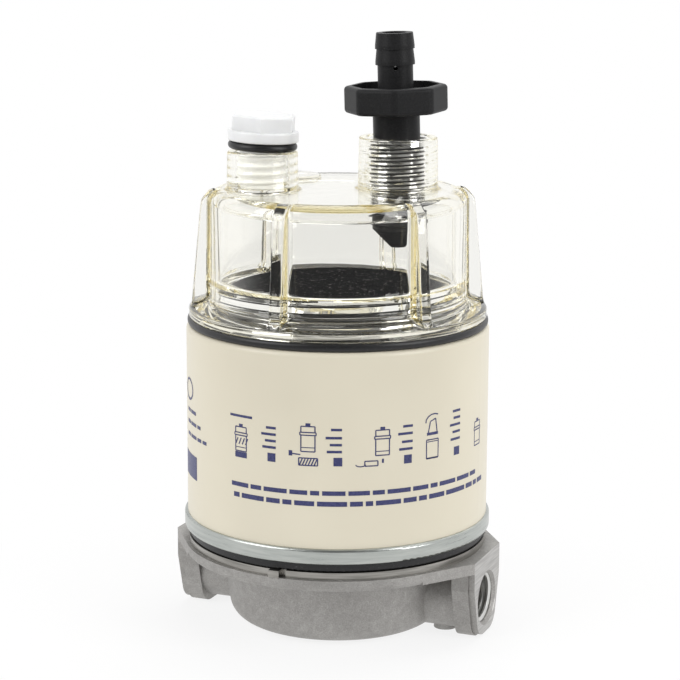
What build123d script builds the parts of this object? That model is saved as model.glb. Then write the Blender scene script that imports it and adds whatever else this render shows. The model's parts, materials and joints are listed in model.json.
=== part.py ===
"""Spin-on fuel filter and water separator with a clear bowl, standing upside down on its cast head.

Millimetres, +Z up, origin on the filter's axis at the surface it stands on. The two fuel ports lie
along X. The element screws onto the head's nipple, the bowl screws onto the element, and the drain
valve and the sensor plug screw into the bowl.
"""
from math import acos, atan2, cos, hypot, radians, sin
import os

from build123d import *

os.makedirs("parts", exist_ok=True)

# Clearances
thread_gap = 0.12            # radial, between plain cylinders that stand for two threads
seat_gap = 0.1               # radial, between pieces that are pressed or crimped together
drain_thread_gap = 0.4       # radial, the moulded drain thread is slack
plug_thread_gap = 0.8        # radial, the sensor plug is slack in its port

# The can's radius drives the rings, gaskets and flanges that lie against its two ends
can_radius = 38.1

# Head casting: cup, flange and machined rim
cup_floor = 0.6              # height of the cup's bottom over the standing surface
cup_bottom_radius = 26.8
cup_top_radius = 29.4
cup_corner = 5.0
head_wall = 3.4
flange_step = 0.9            # cast flange outside the rim
flange_underside = 18.1
flange_thickness = 2.8
flange_fillet = 3.0
lip_round = 1.0
rim_margin = 0.3             # machined rim outside the gasket
rim_land = 2.0               # machined rim inside the gasket
rim_height = 1.8             # machined rim above the cast flange
chamber_slope = 4.0          # height of the chamber's widening mouth

# Head ports along X
port_stand_out = 1.9         # collars' faces outside the flange
port_height = 9.3           # axis over the standing surface
collar_width = 20.4
collar_foot_width = 12.9
collar_knee = 13.5           # height where the sides start to run in towards the foot
collar_top = 20.3
collar_thickness = 4.3
collar_foot_corner = 5.5
collar_knee_round = 8.0
collar_top_corner = 1.8
face_height = 1.6           # raised face on the collar
face_inset = 0.5
tube_radius = 8.2
thread_radius = 6.2          # wall of the tapped hole, midway down its thread
thread_length = 12.0
thread_mouth = 0.8          # countersink
passage_radius = 4.4
passage_wall = 2.4

# Head details: locating lug and notch, foot nub, back mounting pad
lug_width = 2.8
lug_depth = 1.2
lug_offset = -0.75
notch_width = 1.3            # in the rim, beside the lug
notch_depth = 0.8
nub_radius = 2.9
nub_offset = 29.8
nub_clear = 0.3
pad_width = 52.0
pad_top = 18.9               # runs up into the flange
pad_thickness = 5.0
pad_corner = 4.0
pad_stand_out = 0.1          # mounting face outside the flange
pad_hole_radius = 3.4
pad_hole_spacing = 34.0
pad_hole_depth = 12.0
pad_boss_radius = 6.6
pad_boss_reach = 18.9        # from the mounting face into the cup's wall

# Centre boss and nipple
boss_radius = 12.0
boss_top = 18.7
nipple_radius = 7.9
nipple_bore_radius = 5.6
nipple_foot = 7.3
nipple_top = 35.7
nipple_chamfer = 0.6

# Element: gasket, rolled retainer, tapping plate and can
gasket_inset = 0.5           # gasket inside the can's outline
gasket_width = 4.6
gasket_height = 4.0
gasket_round = 0.5
gasket_show = 2.2            # how much of the gasket shows between head and retainer
retainer_sheet = 0.8         # the rolled edge lies round the can
retainer_land = 1.6          # retainer inside the gasket
retainer_web = 1.0
retainer_lip = 1.0
retainer_rise = 1.1          # rolled edge above the web
retainer_round = 0.7
can_wall = 0.7
can_top = 76.9               # flat end that carries the bowl's gasket
can_shoulder = 1.2
plate_thickness = 3.5
plate_hole_radius = 2.8
plate_hole_circle = 18.0
plate_hole_count = 8

# Cartridge inside the can
media_outer_radius = 26.4
media_inner_radius = 11.4
media_paper = 0.55
pleat_count = 36
potting_depth = 1.8          # bed of potting compound between each cap and the pleats
cap_radius = 27.7
cap_sheet = 0.8
cap_lip = 3.0
cap_top = 86.1               # outer face of the end disc that shows through the bowl
grommet_radius = 12.6
grommet_neck_radius = 9.7
grommet_flange = 2.0
grommet_height = 5.0
tube_outer_radius = 10.9
tube_wall = 0.5
slot_width = 2.6
slot_height = 5.0
slot_columns = 6
slot_rows = 5

# Threaded neck for the bowl
neck_radius = 29.6
neck_inner_radius = 28.5
neck_top = 85.1
neck_flange_thickness = 2.2
neck_gap = 0.3               # radial, between the neck's and the bowl's coarse threads
neck_headroom = 2.6          # from the neck's end to the step in the bowl's wall

# Bowl
bowl_gasket_height = 2.1
bowl_gasket_inset = 0.3      # inside the can's outline
bowl_gasket_width = 3.4
bowl_gasket_round = 0.9
bowl_flange_inset = 0.7      # inside the can's outline
bowl_flange_height = 2.3
bowl_cone_height = 1.9       # sloping top of the flange, up to the wall
bowl_flange_round = 0.8
bowl_wall = 2.4
bowl_draft = 0.3             # how much the wall narrows to the top
bowl_step = 1.0              # height over which it narrows inside
bowl_top = 110.8
bowl_top_thickness = 2.6
bowl_edge_round = 3.0
ceiling_round = 1.0
rib_count = 6
rib_thickness = 3.3
rib_foot_inset = 0.5         # inside the flange's outline
rib_head_depth = 2.0         # from the body's wall
rib_head_height = 108.1      # where the rib's chamfer starts
rib_shoulder_round = 3.0
rib_crown_round = 1.5
rib_root = 1.0               # how far the ribs start inside the body
bowl_turn = 27.5             # degrees from the +X port to the line through the two bosses

# Bosses on the bowl
drain_offset = 14.9
drain_boss_radius = 10.0
drain_boss_top = 123.6
drain_bore_radius = 7.0
sensor_offset = 18.9
sensor_boss_radius = 8.95
sensor_boss_top = 120.3
sensor_bore_radius = 6.4
boss_draft = 0.2
blank_radius = 6.4           # low blank pad for a port that this bowl doesn't have
blank_height = 0.9
blank_offset = 22.5
blank_angle = 114.0          # degrees from the drain boss

# Drain valve, one moulding: barb, knob, stem, thread and conical head
drain_tilt = 1.8             # degrees, it leans in its slack thread
barb_top = 149.3
barb_shank_radius = 4.4
barb_bore_radius = 3.0
barb_tip_radius = 4.55
barb_edge_radius = 4.9
barb_land = 0.8              # straight length at each ridge
barb_pitch = 3.93
barb_count = 2
knob_top = 136.4
knob_height = 6.7
knob_sides = 8
knob_radius = 13.0
knob_rim = 2.0
knob_recess = 3.6
knob_round = 2.4             # at the eight corners
knob_edge = 1.0              # at the top and bottom
knob_turn = -8.5             # degrees from the line through the two bosses
stem_radius = 5.85
stem_foot = 123.0
vent_radius = 0.55
vent_turn = 84.5             # degrees from the line through the two bosses
vent_height = 140.9
groove_radius = 5.4
seal_top = 103.3
seal_thickness = 1.5
seal_radius = 7.5
cone_top = 100.6
cone_foot = 96.0
cone_foot_radius = 2.2
inlet_radius = 1.8
inlet_height = 105.3

# Sensor port plug, one moulding, and its seal
plug_tilt = 2.5              # degrees, it sits cocked on its seal
plug_flange_radius = 8.85
plug_flange_height = 2.7
plug_hex_flats = 14.8
plug_hex_height = 3.9
plug_hex_turn = 21.0
plug_body_length = 11.6
plug_bore_radius = 3.2
plug_bore_depth = 9.0
plug_edge = 0.5
plug_seal_section = 1.0      # radius of the ring's section
plug_seal_radius = 7.6       # radius of the ring's centre line

# Heights and radii that follow from the sizes above
gasket_outer_radius = can_radius - gasket_inset
gasket_inner_radius = gasket_outer_radius - gasket_width
rim_radius = gasket_outer_radius + rim_margin
rim_inner_radius = gasket_inner_radius - rim_land
flange_radius = rim_radius + flange_step
flange_top = flange_underside + flange_thickness
rim_top = flange_top + rim_height
chamber_floor = cup_floor + head_wall
port_face = flange_radius + port_stand_out
collar_face = port_face - face_height
face_half_width = collar_width / 2 - face_inset
web_angle = atan2(face_half_width, port_face) + acos(flange_radius / hypot(port_face, face_half_width))   # a tangent
web_reach = flange_radius * cos(web_angle)
web_half_width = flange_radius * sin(web_angle)
pad_reach = flange_radius + pad_stand_out
retainer_radius = can_radius + retainer_sheet
retainer_inner_radius = gasket_inner_radius - retainer_land
retainer_foot = rim_top + gasket_show
web_foot = rim_top + gasket_height
can_foot = web_foot + retainer_web
plate_top = can_foot + plate_thickness
grommet_top = plate_top + grommet_height
head_cap_face = plate_top + grommet_flange
media_foot = head_cap_face + cap_sheet + potting_depth
media_top = cap_top - cap_sheet - potting_depth
can_inner_radius = can_radius - can_wall
neck_flange_radius = can_radius - can_shoulder - seat_gap
bowl_gasket_radius = can_radius - bowl_gasket_inset
bowl_flange_radius = can_radius - bowl_flange_inset
bowl_foot = can_top + bowl_gasket_height
bowl_cone_foot = bowl_foot + bowl_flange_height
bowl_wall_foot = bowl_cone_foot + bowl_cone_height
bowl_inner_radius = neck_radius + neck_gap
bowl_wall_radius = bowl_inner_radius + bowl_wall
bowl_inner_top_radius = bowl_inner_radius - bowl_draft
bowl_ceiling = bowl_top - bowl_top_thickness
bowl_wall_top_radius = bowl_wall_radius - bowl_draft
rib_foot_radius = bowl_flange_radius - rib_foot_inset
rib_head_radius = bowl_wall_radius + rib_head_depth
drain_thread_radius = drain_bore_radius - drain_thread_gap
plug_body_radius = sensor_bore_radius - plug_thread_gap
plug_lift = plug_seal_radius * sin(radians(plug_tilt)) + 0.01   # the cocked ring touches on one side only


def on_circle(radius, angle, height=0.0):
    """A point at this radius and angle in degrees about the filter's axis."""
    return (radius * cos(radians(angle)), radius * sin(radians(angle)), height)


def leaning_plane(offset, angle, height, tilt):
    """A plane on a boss whose normal leans by tilt degrees along the line through the two bosses."""
    lean = Vector(*on_circle(sin(radians(tilt)), bowl_turn, cos(radians(tilt))))
    across = Vector(*on_circle(1.0, bowl_turn + 90))
    return Plane(origin=on_circle(offset, angle, height), x_dir=across.cross(lean), z_dir=lean)


# The drain boss stands at bowl_turn and the sensor boss opposite
drain_plane = leaning_plane(drain_offset, bowl_turn, bowl_top, -drain_tilt)
plug_plane = leaning_plane(sensor_offset, bowl_turn + 180, sensor_boss_top + plug_lift, plug_tilt)
drain_axis = Axis(drain_plane.origin, drain_plane.z_dir)
plug_axis = Axis(plug_plane.origin, plug_plane.z_dir)

# Outline of the two port collars: they narrow to the foot
with BuildSketch() as collar_outline:
    with BuildLine():
        Polyline(
            (-collar_foot_width / 2, 0),
            (collar_foot_width / 2, 0),
            (collar_width / 2, collar_knee),
            (collar_width / 2, collar_top),
            (-collar_width / 2, collar_top),
            (-collar_width / 2, collar_knee),
            close=True,
        )
    make_face()
    corners = collar_outline.vertices().group_by(Axis.Y)
    fillet(corners[0], collar_foot_corner)
    fillet(corners[2], collar_top_corner)
    fillet(corners[1], collar_knee_round)

# Head: cup, flange and rim turned about the axis, then the two ports, the pad and the chamber
with BuildPart() as head:
    with BuildSketch(Plane.XZ) as outside:
        with BuildLine():
            Polyline(
                (0, cup_floor),
                (cup_bottom_radius, cup_floor),
                (cup_top_radius, flange_underside),
                (flange_radius, flange_underside),
                (flange_radius, flange_top),
                (rim_radius, flange_top),
                (rim_radius, rim_top),
                (0, rim_top),
                close=True,
            )
        make_face()
        corners = outside.vertices().filter_by(lambda v: v.X > 1)
        fillet(corners.sort_by(Axis.Y)[0], cup_corner)
        fillet(outside.vertices().sort_by_distance((cup_top_radius, flange_underside))[0], flange_fillet)
        fillet(outside.vertices().sort_by_distance((flange_radius, flange_underside))[0], lip_round)
    revolve(axis=Axis.Z)

    # A tube at each end of the port line, with a collar that has a raised face
    for side in (-1, 1):
        with BuildSketch(Plane.YZ.offset(side * collar_face)) as tube_section:
            with Locations((0, port_height)):
                Circle(tube_radius)
        extrude(amount=-side * (collar_face - cup_bottom_radius + cup_corner))
        with BuildSketch(Plane.YZ.offset(side * collar_face)) as collar_section:
            add(collar_outline.sketch)
        extrude(amount=-side * collar_thickness)
        with BuildSketch(Plane.YZ.offset(side * (collar_face - face_inset))) as face_section:
            add(collar_outline.sketch)
            offset(amount=-face_inset)
        extrude(amount=side * (face_height + face_inset))

        # A web at the flange's level runs from the face to the flange's outline
        with BuildSketch(Plane.XY.offset(flange_underside)) as web_outline:
            with BuildLine():
                Polyline(
                    (0, 0),
                    (side * web_reach, -web_half_width),
                    (side * port_face, -face_half_width),
                    (side * port_face, face_half_width),
                    (side * web_reach, web_half_width),
                    close=True,
                )
            make_face()
        extrude(amount=flange_thickness)

    # Back pad with two bosses that reach into the cup's wall
    with BuildSketch(Plane.XZ.offset(-pad_reach)) as pad_section:
        with Locations((0, pad_top / 2)):
            RectangleRounded(pad_width, pad_top, pad_corner)
    extrude(amount=pad_thickness)
    with BuildSketch(Plane.XZ.offset(-pad_reach)) as pad_bosses:
        with Locations((-pad_hole_spacing / 2, port_height), (pad_hole_spacing / 2, port_height)):
            Circle(pad_boss_radius)
    extrude(amount=pad_boss_reach)

    # Small lug beside the rim at the front with a notch next to it, and the foot nub under the +X tube
    with Locations((lug_offset, -rim_radius - lug_depth / 2 + lip_round / 2, flange_top)):
        Box(lug_width, lug_depth + lip_round, rim_height, align=(Align.CENTER, Align.CENTER, Align.MIN))
    with Locations((lug_offset + lug_width / 2, -rim_radius - lug_depth, flange_top)):
        Box(
            notch_width,
            lug_depth + notch_depth,
            rim_height,
            align=(Align.MIN, Align.MIN, Align.MIN),
            mode=Mode.SUBTRACT,
        )
    with BuildSketch(Plane.XY.offset(nub_clear)) as nub_section:
        with Locations((nub_offset, 0)):
            Circle(nub_radius)
    extrude(amount=port_height - thread_radius - nub_clear)

    # Fuel chamber round the centre boss
    with BuildSketch(Plane.XZ) as chamber_section:
        with BuildLine():
            Polyline(
                (boss_radius, chamber_floor),
                (cup_bottom_radius - head_wall, chamber_floor),
                (cup_top_radius - head_wall, rim_top - chamber_slope),
                (rim_inner_radius, rim_top),
                (0, rim_top),
                (0, boss_top),
                (boss_radius, boss_top),
                close=True,
            )
        make_face()
        fillet(chamber_section.vertices().sort_by(Axis.Y)[0:2].sort_by(Axis.X)[-1], cup_corner / 2)
    revolve(axis=Axis.Z, mode=Mode.SUBTRACT)

    # Walled passage from the +X port across the chamber to the centre boss
    with BuildSketch(Plane.YZ) as bridge_section:
        with Locations((0, port_height)):
            Circle(passage_radius + passage_wall)
    extrude(amount=cup_bottom_radius)

    # Bores: nipple thread, port threads and passages, pad holes
    with Locations((0, 0, boss_top)):
        Hole(nipple_radius + thread_gap, boss_top - nipple_foot)
    with BuildSketch(Plane.YZ) as outlet_passage:
        with Locations((0, port_height)):
            Circle(passage_radius)
    extrude(amount=port_face, mode=Mode.SUBTRACT)
    with BuildSketch(Plane.YZ.offset(-port_face)) as inlet_passage:
        with Locations((0, port_height)):
            Circle(passage_radius)
    extrude(amount=port_face - boss_radius - head_wall, mode=Mode.SUBTRACT)
    for side in (-1, 1):
        mouth = Plane(origin=(side * port_face, 0, port_height), z_dir=(side, 0, 0))
        with Locations(mouth):
            CounterSinkHole(thread_radius, thread_radius + thread_mouth, thread_length, 90)
    with Locations(Plane(origin=(0, pad_reach, port_height), x_dir=(1, 0, 0), z_dir=(0, 1, 0))):
        with GridLocations(pad_hole_spacing, 1, 2, 1):
            Hole(pad_hole_radius, pad_hole_depth)
head.part.label = "head"
export_step(head.part, "parts/head.step")

# Nipple screwed into the centre boss
with BuildPart() as centre_nipple:
    with Locations((0, 0, nipple_foot)):
        Cylinder(nipple_radius, nipple_top - nipple_foot, align=(Align.CENTER, Align.CENTER, Align.MIN))
        Cylinder(
            nipple_bore_radius,
            nipple_top - nipple_foot,
            align=(Align.CENTER, Align.CENTER, Align.MIN),
            mode=Mode.SUBTRACT,
        )
    chamfer(centre_nipple.edges().filter_by(GeomType.CIRCLE).group_by(Axis.Z)[-1], nipple_chamfer)
centre_nipple.part.label = "centre_nipple"
export_step(centre_nipple.part, "parts/centre_nipple.step")


def ring(inner, outer, foot, top, rounding):
    """A turned ring with its four edges rounded."""
    with BuildPart() as turned:
        with BuildSketch(Plane.XZ) as section:
            with Locations(((inner + outer) / 2, (foot + top) / 2)):
                RectangleRounded(outer - inner, top - foot, rounding)
        revolve(axis=Axis.Z)
    return turned.part


element_gasket = ring(gasket_inner_radius, gasket_outer_radius, rim_top, web_foot, gasket_round)
element_gasket.label = "element_gasket"
export_step(element_gasket, "parts/element_gasket.step")

# Rolled retainer: a channel that holds the gasket and is closed round the can's end
with BuildPart() as gasket_retainer:
    with BuildSketch(Plane.XZ) as rolled:
        with BuildLine():
            Polyline(
                (retainer_inner_radius, can_foot),
                (retainer_inner_radius, retainer_foot),
                (retainer_inner_radius + retainer_lip, retainer_foot),
                (retainer_inner_radius + retainer_lip, web_foot),
                (gasket_outer_radius + seat_gap, web_foot),
                (gasket_outer_radius + seat_gap, retainer_foot),
                (retainer_radius, retainer_foot),
                (retainer_radius, can_foot + retainer_rise),
                (can_radius, can_foot + retainer_rise),
                (can_radius, can_foot),
                close=True,
            )
        make_face()
        rolled_edge = rolled.vertices().filter_by(lambda v: v.X > retainer_radius - 0.01)
        fillet(rolled_edge, retainer_round)
    revolve(axis=Axis.Z)
gasket_retainer.part.label = "gasket_retainer"
export_step(gasket_retainer.part, "parts/gasket_retainer.step")

# Tapping plate: centre thread for the nipple and a circle of inlet holes
with BuildPart() as tapping_plate:
    with Locations((0, 0, can_foot)):
        Cylinder(
            can_inner_radius - seat_gap, plate_thickness, align=(Align.CENTER, Align.CENTER, Align.MIN)
        )
    with Locations((0, 0, plate_top)):
        Hole(nipple_radius + thread_gap)
        with PolarLocations(plate_hole_circle, plate_hole_count):
            Hole(plate_hole_radius)
tapping_plate.part.label = "tapping_plate"
export_step(tapping_plate.part, "parts/tapping_plate.step")

# Can: drawn shell, open at the head, its far end turned in to the neck
with BuildPart() as can:
    with BuildSketch(Plane.XZ) as shell:
        with BuildLine():
            Polyline(
                (can_inner_radius, can_foot),
                (can_radius, can_foot),
                (can_radius, can_top),
                (neck_radius + seat_gap, can_top),
                (neck_radius + seat_gap, can_top - can_wall),
                (can_inner_radius, can_top - can_wall),
                close=True,
            )
        make_face()
        fillet(shell.vertices().sort_by_distance((can_radius, can_top))[0], can_shoulder)
        inner_corner = shell.vertices().sort_by_distance((can_inner_radius, can_top - can_wall))[0]
        fillet(inner_corner, can_shoulder - can_wall)
    revolve(axis=Axis.Z)
can.part.label = "can"
export_step(can.part, "parts/can.step")

# Rubber grommet that seals the cartridge round the nipple
with BuildPart() as centre_grommet:
    with BuildSketch(Plane.XZ) as grommet_section:
        with BuildLine():
            Polyline(
                (nipple_radius + thread_gap, plate_top),
                (grommet_radius, plate_top),
                (grommet_radius, plate_top + grommet_flange),
                (grommet_neck_radius, plate_top + grommet_flange),
                (grommet_neck_radius, grommet_top),
                (nipple_radius + thread_gap, grommet_top),
                close=True,
            )
        make_face()
    revolve(axis=Axis.Z)
centre_grommet.part.label = "centre_grommet"
export_step(centre_grommet.part, "parts/centre_grommet.step")


def end_cap(face_height, into_media, hole_radius):
    """A shallow pressed cap over one end of the pleats; into_media is +1 upwards or -1 downwards."""
    with BuildPart() as cap:
        with BuildSketch(Plane.XZ) as cap_section:
            with BuildLine():
                Polyline(
                    (hole_radius, face_height),
                    (cap_radius, face_height),
                    (cap_radius, face_height + into_media * cap_lip),
                    (cap_radius - cap_sheet, face_height + into_media * cap_lip),
                    (cap_radius - cap_sheet, face_height + into_media * cap_sheet),
                    (hole_radius, face_height + into_media * cap_sheet),
                    close=True,
                )
            make_face()
            fillet(cap_section.vertices().sort_by_distance((cap_radius, face_height))[0], cap_sheet)
        revolve(axis=Axis.Z)
    return cap.part


head_end_cap = end_cap(head_cap_face, 1, grommet_neck_radius + seat_gap)
head_end_cap.label = "head_end_cap"
export_step(head_end_cap, "parts/head_end_cap.step")

bowl_end_cap = end_cap(cap_top, -1, 0.0)
bowl_end_cap.label = "bowl_end_cap"
export_step(bowl_end_cap, "parts/bowl_end_cap.step")

# Beds of potting compound that hold the pleats and the centre tube in the two caps
for name, bed_foot in (("head_potting", media_foot - potting_depth), ("bowl_potting", media_top)):
    with BuildPart() as potting:
        with BuildSketch(Plane.XY.offset(bed_foot)):
            Circle(cap_radius - cap_sheet)
            Circle(tube_outer_radius - tube_wall, mode=Mode.SUBTRACT)
        extrude(amount=potting_depth)
    potting.part.label = name
    export_step(potting.part, f"parts/{name}.step")

# Pleated paper: one folded band, with sharp folds at both radii
with BuildPart() as pleated_media:
    half_pleat = 180 / pleat_count
    tip_half = 57.3 * media_paper / media_outer_radius
    root_half = 57.3 * media_paper / media_inner_radius
    outer_line = []
    inner_line = []
    for pleat in range(pleat_count):
        tip = 2 * half_pleat * pleat
        root = tip + half_pleat
        outer_line.append(on_circle(media_outer_radius, tip - tip_half)[:2])
        outer_line.append(on_circle(media_outer_radius, tip + tip_half)[:2])
        outer_line.append(on_circle(media_inner_radius + media_paper, root)[:2])
        inner_line.append(on_circle(media_outer_radius - media_paper, tip)[:2])
        inner_line.append(on_circle(media_inner_radius, root - root_half)[:2])
        inner_line.append(on_circle(media_inner_radius, root + root_half)[:2])
    with BuildSketch(Plane.XY.offset(media_foot)) as folds:
        with BuildLine():
            Polyline(*outer_line, close=True)
        make_face()
        with BuildLine(mode=Mode.PRIVATE) as inner_fold:
            Polyline(*inner_line, close=True)
        make_face(inner_fold.edges(), mode=Mode.SUBTRACT)
    extrude(amount=media_top - media_foot)
pleated_media.part.label = "pleated_media"
export_step(pleated_media.part, "parts/pleated_media.step")

# Slotted centre tube inside the pleats
with BuildPart() as centre_tube:
    tube_length = media_top - media_foot
    with Locations((0, 0, media_foot)):
        Cylinder(tube_outer_radius, tube_length, align=(Align.CENTER, Align.CENTER, Align.MIN))
        Cylinder(
            tube_outer_radius - tube_wall,
            tube_length,
            align=(Align.CENTER, Align.CENTER, Align.MIN),
            mode=Mode.SUBTRACT,
        )
    slot_pitch = tube_length / slot_rows
    for row in range(slot_rows):
        stagger = 180 / slot_columns * (row % 2)
        with Locations((0, 0, media_foot + slot_pitch * (row + 0.5))):
            with PolarLocations(tube_outer_radius - tube_wall / 2, slot_columns, stagger):
                Box(4 * tube_wall, slot_width, slot_height, mode=Mode.SUBTRACT)
centre_tube.part.label = "centre_tube"
export_step(centre_tube.part, "parts/centre_tube.step")

# Neck: flange held under the can's end, and the short tube that the bowl screws onto
with BuildPart() as bowl_neck:
    with BuildSketch(Plane.XZ) as neck_section:
        with BuildLine():
            Polyline(
                (neck_inner_radius, can_top - can_wall - neck_flange_thickness),
                (neck_flange_radius, can_top - can_wall - neck_flange_thickness),
                (neck_flange_radius, can_top - can_wall),
                (neck_radius, can_top - can_wall),
                (neck_radius, neck_top),
                (neck_inner_radius, neck_top),
                close=True,
            )
        make_face()
    revolve(axis=Axis.Z)
bowl_neck.part.label = "bowl_neck"
export_step(bowl_neck.part, "parts/bowl_neck.step")

bowl_gasket = ring(
    bowl_gasket_radius - bowl_gasket_width, bowl_gasket_radius, can_top, bowl_foot, bowl_gasket_round
)
bowl_gasket.label = "bowl_gasket"
export_step(bowl_gasket, "parts/bowl_gasket.step")

# Bowl: turned body, six ribs, two bosses and a low blank pad, then the inside and the bores
with BuildPart() as bowl:
    with BuildSketch(Plane.XZ) as body_section:
        with BuildLine():
            Polyline(
                (0, bowl_foot),
                (bowl_flange_radius, bowl_foot),
                (bowl_flange_radius, bowl_cone_foot),
                (bowl_wall_radius, bowl_wall_foot),
                (bowl_wall_top_radius, bowl_top),
                (0, bowl_top),
                close=True,
            )
        make_face()
        fillet(body_section.vertices().sort_by_distance((bowl_wall_top_radius, bowl_top))[0], bowl_edge_round)
        fillet(body_section.vertices().sort_by_distance((bowl_flange_radius, bowl_cone_foot))[0], bowl_flange_round)
    revolve(axis=Axis.Z)

    # Each rib tapers upwards and ends in a chamfer at the top
    for rib in range(rib_count):
        rib_plane = Plane.XZ.rotated((0, 0, bowl_turn + 360 * rib / rib_count)).offset(-rib_thickness / 2)
        with BuildSketch(rib_plane) as rib_side:
            with BuildLine():
                Polyline(
                    (bowl_inner_radius, bowl_cone_foot - rib_root),
                    (rib_foot_radius, bowl_cone_foot - rib_root),
                    (rib_head_radius, rib_head_height),
                    (bowl_wall_top_radius, bowl_top),
                    (bowl_inner_radius - ceiling_round, bowl_top),
                    close=True,
                )
            make_face()
            rib_shoulder = rib_side.vertices().sort_by_distance((rib_head_radius, rib_head_height))[0]
            fillet(rib_shoulder, rib_shoulder_round)
            fillet(rib_side.vertices().sort_by_distance((bowl_wall_top_radius, bowl_top))[0], rib_crown_round)
        extrude(amount=rib_thickness)

    # The bosses narrow a little towards their mouths
    for offset, angle, radius, top in (
        (drain_offset, bowl_turn, drain_boss_radius, drain_boss_top),
        (sensor_offset, bowl_turn + 180, sensor_boss_radius, sensor_boss_top),
    ):
        with BuildSketch(Plane.XY.offset(bowl_ceiling)):
            with Locations(on_circle(offset, angle)):
                Circle(radius)
        with BuildSketch(Plane.XY.offset(top)):
            with Locations(on_circle(offset, angle)):
                Circle(radius - boss_draft)
        loft()
    with Locations(on_circle(blank_offset, bowl_turn + blank_angle, bowl_top)):
        Cylinder(blank_radius, blank_height, align=(Align.CENTER, Align.CENTER, Align.MIN))

    with BuildSketch(Plane.XZ) as inside_section:
        with BuildLine():
            Polyline(
                (0, bowl_foot),
                (bowl_inner_radius, bowl_foot),
                (bowl_inner_radius, neck_top + neck_headroom),
                (bowl_inner_top_radius, neck_top + neck_headroom + bowl_step),
                (bowl_inner_top_radius, bowl_ceiling),
                (0, bowl_ceiling),
                close=True,
            )
        make_face()
        ceiling_corner = inside_section.vertices().sort_by_distance((bowl_inner_top_radius, bowl_ceiling))[0]
        fillet(ceiling_corner, ceiling_round)
    revolve(axis=Axis.Z, mode=Mode.SUBTRACT)
    with Locations(on_circle(drain_offset, bowl_turn, drain_boss_top)):
        Hole(drain_bore_radius, drain_boss_top - bowl_ceiling + 1)
    with Locations(on_circle(sensor_offset, bowl_turn + 180, sensor_boss_top)):
        Hole(sensor_bore_radius, sensor_boss_top - bowl_ceiling + 1)
bowl.part.label = "bowl"
export_step(bowl.part, "parts/bowl.step")

# Drain valve's knob: eight sides, a recess round the barb, all edges rounded
with BuildPart() as knob:
    with BuildSketch(drain_plane.offset(knob_top - knob_height - bowl_top)) as knob_outline:
        RegularPolygon(knob_radius, knob_sides, rotation=knob_turn)
        fillet(knob_outline.vertices(), knob_round)
    extrude(amount=knob_height)
    with BuildSketch(drain_plane.offset(knob_top - knob_recess - bowl_top)) as recess_outline:
        RegularPolygon(knob_radius - knob_rim, knob_sides, rotation=knob_turn)
        fillet(recess_outline.vertices(), knob_round)
    extrude(amount=knob_recess, mode=Mode.SUBTRACT)
    outer_faces = [knob.faces().sort_by(drain_axis)[0], knob.faces().sort_by(drain_axis)[-1]]
    fillet([edge for face in outer_faces for edge in face.outer_wire().edges()], knob_edge)

# Drain valve about its own leaning axis; heights in its section are over the bowl's top
with BuildPart() as drain_valve:
    barb_edges = []
    for barb in range(barb_count):
        edge_height = barb_top - bowl_top - barb_pitch * (barb + 1)
        barb_edges.append((barb_edge_radius, edge_height + barb_land))
        barb_edges.append((barb_edge_radius, edge_height))
        barb_edges.append((barb_tip_radius if barb + 1 < barb_count else barb_shank_radius, edge_height))
    with BuildSketch(Plane(drain_plane.origin, drain_plane.x_dir, -drain_plane.y_dir)):
        with BuildLine():
            Polyline(
                (0, cone_foot - bowl_top),
                (cone_foot_radius, cone_foot - bowl_top),
                (drain_thread_radius, cone_top - bowl_top),
                (drain_thread_radius, seal_top - seal_thickness - seat_gap - bowl_top),
                (groove_radius, seal_top - seal_thickness - seat_gap - bowl_top),
                (groove_radius, seal_top + seat_gap - bowl_top),
                (drain_thread_radius, seal_top + seat_gap - bowl_top),
                (drain_thread_radius, stem_foot - bowl_top),
                (stem_radius, stem_foot - bowl_top),
                (stem_radius, knob_top - knob_recess - bowl_top),
                (barb_shank_radius, knob_top - knob_recess - bowl_top),
                *reversed(barb_edges),
                (barb_tip_radius, barb_top - bowl_top),
                (0, barb_top - bowl_top),
                close=True,
            )
        make_face()
    revolve(axis=drain_axis)
    add(knob.part)
    with Locations(drain_plane.offset(barb_top - bowl_top)):
        Hole(barb_bore_radius, barb_top - inlet_height + inlet_radius)
    vent_direction = drain_plane.x_dir.rotate(Axis.Z, vent_turn)
    for height, radius, direction in (
        (vent_height, vent_radius, vent_direction),
        (inlet_height, inlet_radius, drain_plane.y_dir),
    ):
        centre = drain_plane.offset(height - bowl_top).origin
        with BuildSketch(Plane(origin=centre, z_dir=direction)):
            Circle(radius)
        extrude(amount=drain_thread_radius, both=True, mode=Mode.SUBTRACT)
drain_valve.part.label = "drain_valve"
export_step(drain_valve.part, "parts/drain_valve.step")

# Rubber ring in the valve's groove: it meets the ceiling when the valve is drawn up shut
with BuildPart() as drain_seal:
    with BuildSketch(drain_plane.offset(seal_top - seal_thickness - bowl_top)):
        Circle(seal_radius)
        Circle(groove_radius + seat_gap, mode=Mode.SUBTRACT)
    extrude(amount=seal_thickness)
    rims = drain_seal.edges().filter_by(GeomType.CIRCLE)
    fillet(rims.filter_by(lambda rim: rim.radius > groove_radius + 2 * seat_gap), seal_thickness / 4)
drain_seal.part.label = "drain_seal"
export_step(drain_seal.part, "parts/drain_seal.step")

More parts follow.
